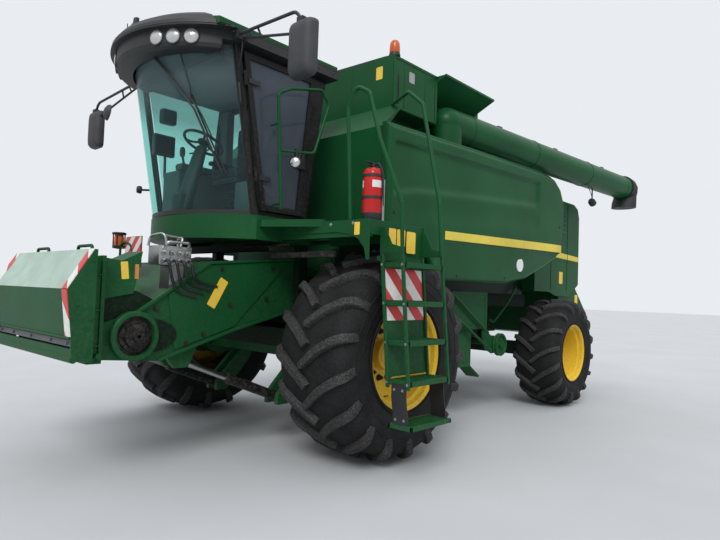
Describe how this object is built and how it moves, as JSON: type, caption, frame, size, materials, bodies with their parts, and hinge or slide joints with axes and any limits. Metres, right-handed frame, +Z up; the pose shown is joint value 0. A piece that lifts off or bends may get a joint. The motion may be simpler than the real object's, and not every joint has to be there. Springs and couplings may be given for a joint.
{
  "type": "combine harvester",
  "caption": "Self-propelled straw-walker combine harvester on wheels, with feeder house, cab, grain tank, swinging unloading auger and transport guard.",
  "frame": {"origin": "on the ground under the middle of the front axle", "axes": "+Z up, the machine faces -Y, +X to its left side, +Y to its rear"},
  "size_m": [4.0625, 8.7708, 3.9897],
  "materials": {
    "green_paint": "satin",
    "black_paint": "satin",
    "black_plastic": "matte",
    "seat_cloth": "matte",
    "engine_iron": "rough",
    "cab_glass": "clear",
    "lamp_glass": "gloss",
    "spout_rubber": "matte",
    "red_paint": "gloss",
    "orange_lens": "gloss",
    "bare_steel": "brushed",
    "yellow_paint": "satin",
    "tyre_rubber": "matte"
  },
  "bodies": {
    "chassis": {"main_frame": "green_paint", "front_axle": "green_paint", "rear_axle": "green_paint", "threshing_body": "green_paint", "rear_hood": "green_paint", "straw_chopper": "green_paint", "side_box": "green_paint", "engine": "engine_iron", "engine_deck": "green_paint", "grain_tank": "green_paint", "auger_base": "green_paint", "cab_floor": "green_paint", "cab_frame": "black_paint", "cab_glass": "cab_glass", "cab_roof": "green_paint", "roof_visor": "black_plastic", "roof_lamps": "lamp_glass", "driver_seat": "seat_cloth", "steering_wheel": "black_plastic", "mirrors": "black_paint", "platform": "green_paint", "handrails": "green_paint", "ladder": "green_paint", "fire_extinguisher": "red_paint", "beacon": "orange_lens"},
    "feeder": {"feeder_house": "green_paint", "feeder_drive": "green_paint", "multi_coupler": "bare_steel", "transport_guard": "green_paint"},
    "cylinder_barrels": {"lift_barrels": "black_paint"},
    "cylinder_rods": {"lift_rods": "bare_steel"},
    "auger": {"auger_tube": "green_paint", "auger_spout": "spout_rubber"},
    "cab_door": {"door_frame": "black_paint", "door_glass": "cab_glass", "door_rail": "green_paint"},
    "lid_left": {"tank_lid_left": "green_paint"},
    "lid_right": {"tank_lid_right": "green_paint"},
    "shield_left": {"side_shield_left": "green_paint"},
    "shield_right": {"side_shield_right": "green_paint"},
    "knuckle_l": {"knuckle_left": "black_paint"},
    "knuckle_r": {"knuckle_right": "black_paint"},
    "front_wheel_l": {"front_rim_left": "yellow_paint", "front_tyre_left": "tyre_rubber"},
    "front_wheel_r": {"front_rim_right": "yellow_paint", "front_tyre_right": "tyre_rubber"},
    "rear_wheel_l": {"rear_rim_left": "yellow_paint", "rear_tyre_left": "tyre_rubber"},
    "rear_wheel_r": {"rear_rim_right": "yellow_paint", "rear_tyre_right": "tyre_rubber"}
  },
  "joints": [
    {"name": "feeder_lift", "type": "hinge", "parent": "chassis", "child": "feeder", "pos_m": [0, -0.13, 1.5], "axis": [-1, 0, 0], "range_deg": [-16, 6]},
    {"name": "barrel_swing", "type": "hinge", "parent": "chassis", "child": "cylinder_barrels", "pos_m": [0, -0.375, 0.43], "axis": [-1, 0, 0], "range_deg": [-16, 7]},
    {"name": "rod_slide", "type": "slide", "parent": "cylinder_barrels", "child": "cylinder_rods", "axis": [0, -0.9314, 0.3639], "range_m": [-0.31, 0.12]},
    {"name": "auger_swing", "type": "hinge", "parent": "chassis", "child": "auger", "pos_m": [1.14, 1.4, 2.97], "axis": [0, 0, -1], "range_deg": [0, 95]},
    {"name": "door_hinge", "type": "hinge", "parent": "chassis", "child": "cab_door", "pos_m": [0.832, -0.905, 2.08], "axis": [0, 0.1826, -0.9832], "range_deg": [0, 75]},
    {"name": "lid_left_hinge", "type": "hinge", "parent": "chassis", "child": "lid_left", "pos_m": [0.98, 1.4, 3.826], "axis": [0, 1, 0], "range_deg": [0, 90]},
    {"name": "lid_right_hinge", "type": "hinge", "parent": "chassis", "child": "lid_right", "pos_m": [-0.98, 1.4, 3.826], "axis": [0, -1, 0], "range_deg": [0, 90]},
    {"name": "shield_left_hinge", "type": "hinge", "parent": "chassis", "child": "shield_left", "pos_m": [1.345, 2, 3.12], "axis": [0, -0.9994, -0.0351], "range_deg": [0, 70]},
    {"name": "shield_right_hinge", "type": "hinge", "parent": "chassis", "child": "shield_right", "pos_m": [-1.345, 2, 3.12], "axis": [0, 0.9994, 0.0351], "range_deg": [0, 70]},
    {"name": "steer_left", "type": "hinge", "parent": "chassis", "child": "knuckle_l", "pos_m": [1, 3.86, 0.725], "axis": [0, 0, 1], "range_deg": [-30, 30]},
    {"name": "steer_right", "type": "hinge", "parent": "chassis", "child": "knuckle_r", "pos_m": [-1, 3.86, 0.725], "axis": [0, 0, 1], "range_deg": [-30, 30]},
    {"name": "front_wheel_left_spin", "type": "hinge", "parent": "chassis", "child": "front_wheel_l", "pos_m": [1.415, 0, 0.91], "axis": [1, 0, 0], "continuous": true},
    {"name": "front_wheel_right_spin", "type": "hinge", "parent": "chassis", "child": "front_wheel_r", "pos_m": [-1.415, 0, 0.91], "axis": [1, 0, 0], "continuous": true},
    {"name": "rear_wheel_left_spin", "type": "hinge", "parent": "knuckle_l", "child": "rear_wheel_l", "pos_m": [1.385, 3.86, 0.725], "axis": [1, 0, 0], "continuous": true},
    {"name": "rear_wheel_right_spin", "type": "hinge", "parent": "knuckle_r", "child": "rear_wheel_r", "pos_m": [-1.385, 3.86, 0.725], "axis": [1, 0, 0], "continuous": true}
  ],
  "couplings": [
    {"joint": "barrel_swing", "follows": "feeder_lift", "ratio": 0.9318},
    {"joint": "rod_slide", "follows": "feeder_lift", "m_per_rad": 1.0909},
    {"joint": "steer_right", "follows": "steer_left", "ratio": 1}
  ]
}
